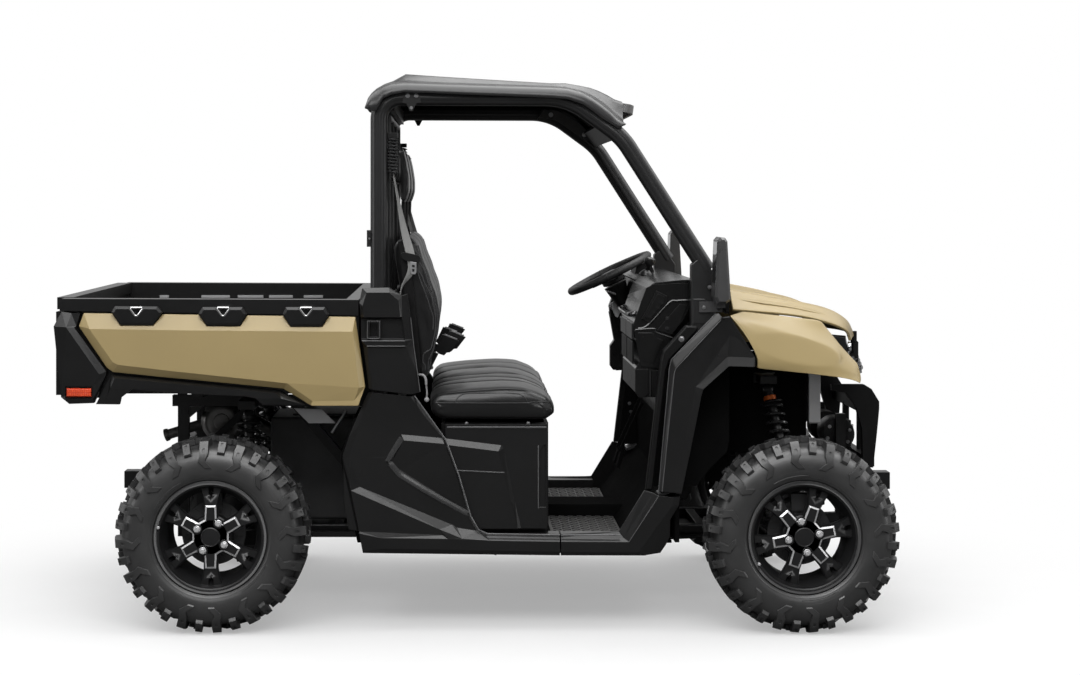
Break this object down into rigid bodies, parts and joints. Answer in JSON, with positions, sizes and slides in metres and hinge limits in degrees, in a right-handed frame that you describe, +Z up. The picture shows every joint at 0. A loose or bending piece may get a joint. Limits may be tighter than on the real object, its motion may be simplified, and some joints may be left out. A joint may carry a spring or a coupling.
{
  "type": "side by side utility vehicle",
  "caption": "Open-sided utility vehicle with a bench cab, hard roof, tubular cage, tipping cargo bed with tailgate, front-hinged hood and steered front wheels.",
  "frame": {"origin": "middle of the footprint on the ground, halfway between the front receiver's end and the tailgate's rear face", "axes": "+X forward, +Y to the vehicle's left, +Z up; wheels roll about Y"},
  "size_m": [3.053, 1.614, 1.94],
  "materials": {
    "black_steel": "semi-gloss powder coat",
    "cage_steel": "textured powder coat",
    "black_plastic": "grained moulding",
    "floor_plastic": "ribbed moulding",
    "roof_plastic": "satin moulding",
    "tan_paint": "satin painted moulding",
    "seat_vinyl": "sewn vinyl",
    "belt_webbing": "woven webbing",
    "grip_rubber": "soft grip",
    "display_glass": "dark lens",
    "lamp_lens": "clear lens",
    "tail_lens": "red lens",
    "alloy_grey": "cast",
    "cast_metal": "cast",
    "spring_steel": "painted coil",
    "muffler_steel": "dull",
    "rod_chrome": "polished",
    "tyre_rubber": "moulded rubber",
    "rim_paint": "satin painted alloy with machined edges"
  },
  "bodies": {
    "chassis": {"cage_cross_tubes": "cage_steel", "cage_hoop_left": "cage_steel", "cage_hoop_right": "cage_steel", "dashboard": "black_plastic", "door_jambs": "black_plastic", "driveline": "cast_metal", "driver_controls": "black_steel", "engine_block": "cast_metal", "exhaust_muffler": "muffler_steel", "fender_panels": "tan_paint", "floor_pan": "floor_plastic", "frame_crossmembers": "black_steel", "frame_rails": "black_steel", "front_bumper": "black_steel", "front_fenders": "black_plastic", "front_frame": "black_steel", "headlights": "lamp_lens", "headrests": "seat_vinyl", "hitch_receivers": "black_steel", "instrument_display": "display_glass", "nose_panel": "black_plastic", "pillar_covers": "black_plastic", "radiator": "alloy_grey", "rear_frame": "black_steel", "rear_knuckles": "cast_metal", "rear_screen": "black_steel", "rear_wall": "black_plastic", "roof": "roof_plastic", "seat_backs": "seat_vinyl", "seat_base": "black_plastic", "seat_belts": "belt_webbing", "seat_cushions": "seat_vinyl", "shock_absorbers": "spring_steel", "side_mirrors": "black_plastic", "side_panels": "black_plastic", "skid_plate": "black_plastic", "steering_column": "black_plastic", "steering_rack": "alloy_grey", "suspension_arms": "black_steel", "wheel_arch_liners": "black_plastic", "winch": "black_steel"},
    "knuckle_left": {"front_knuckle_left": "cast_metal"},
    "knuckle_right": {"front_knuckle_right": "cast_metal"},
    "wheel_front_left": {"tyre_front_left": "tyre_rubber", "rim_front_left": "rim_paint"},
    "wheel_front_right": {"tyre_front_right": "tyre_rubber", "rim_front_right": "rim_paint"},
    "wheel_rear_left": {"tyre_rear_left": "tyre_rubber", "rim_rear_left": "rim_paint"},
    "wheel_rear_right": {"tyre_rear_right": "tyre_rubber", "rim_rear_right": "rim_paint"},
    "steering_wheel": {"steering_wheel": "grip_rubber"},
    "cargo_bed": {"cargo_bed": "black_plastic", "bed_side_panels": "tan_paint", "bed_trims": "black_plastic", "tail_lights": "tail_lens"},
    "tailgate": {"tailgate": "black_plastic"},
    "hood": {"hood": "tan_paint"},
    "strut_barrel": {"lift_strut_barrel": "black_steel"},
    "strut_rod": {"lift_strut_rod": "rod_chrome"}
  },
  "joints": [
    {"name": "steer_left", "type": "hinge", "parent": "chassis", "child": "knuckle_left", "pos_m": [1.066, 0.6, 0.335], "axis": [0, 0, 1], "range_deg": [-28, 28]},
    {"name": "steer_right", "type": "hinge", "parent": "chassis", "child": "knuckle_right", "pos_m": [1.066, -0.6, 0.335], "axis": [0, 0, 1], "range_deg": [-28, 28]},
    {"name": "steering_wheel_turn", "type": "hinge", "parent": "chassis", "child": "steering_wheel", "pos_m": [0.483, 0.34, 1.202], "axis": [-0.4363, 0, 0.8998], "range_deg": [-340, 340]},
    {"name": "spin_front_left", "type": "hinge", "parent": "knuckle_left", "child": "wheel_front_left", "pos_m": [1.066, 0.692, 0.335], "axis": [0, 1, 0], "continuous": true},
    {"name": "spin_front_right", "type": "hinge", "parent": "knuckle_right", "child": "wheel_front_right", "pos_m": [1.066, -0.692, 0.335], "axis": [0, 1, 0], "continuous": true},
    {"name": "spin_rear_left", "type": "hinge", "parent": "chassis", "child": "wheel_rear_left", "pos_m": [-0.974, 0.667, 0.335], "axis": [0, 1, 0], "continuous": true},
    {"name": "spin_rear_right", "type": "hinge", "parent": "chassis", "child": "wheel_rear_right", "pos_m": [-0.974, -0.667, 0.335], "axis": [0, 1, 0], "continuous": true},
    {"name": "bed_tilt", "type": "hinge", "parent": "chassis", "child": "cargo_bed", "pos_m": [-1.139, 0, 0.8], "axis": [0, -1, 0], "range_deg": [0, 45]},
    {"name": "tailgate_fold", "type": "hinge", "parent": "cargo_bed", "child": "tailgate", "pos_m": [-1.502, 0, 0.846], "axis": [0, -1, 0], "range_deg": [0, 90]},
    {"name": "hood_lift", "type": "hinge", "parent": "chassis", "child": "hood", "pos_m": [1.332, 0, 0.972], "axis": [0, 1, 0], "range_deg": [0, 60]},
    {"name": "strut_swing", "type": "hinge", "parent": "chassis", "child": "strut_barrel", "pos_m": [-0.614, 0.215, 0.44], "axis": [0, -1, 0], "range_deg": [-9.07, 2]},
    {"name": "strut_slide", "type": "slide", "parent": "strut_barrel", "child": "strut_rod", "axis": [-0.6671, 0, 0.745], "range_m": [0, 0.1648]}
  ],
  "couplings": [
    {"joint": "steer_right", "follows": "steer_left", "ratio": 1},
    {"joint": "steering_wheel_turn", "follows": "steer_left", "ratio": 12},
    {"joint": "strut_swing", "follows": "bed_tilt", "ratio": -0.15703},
    {"joint": "strut_slide", "follows": "bed_tilt", "m_per_rad": 0.20472}
  ]
}
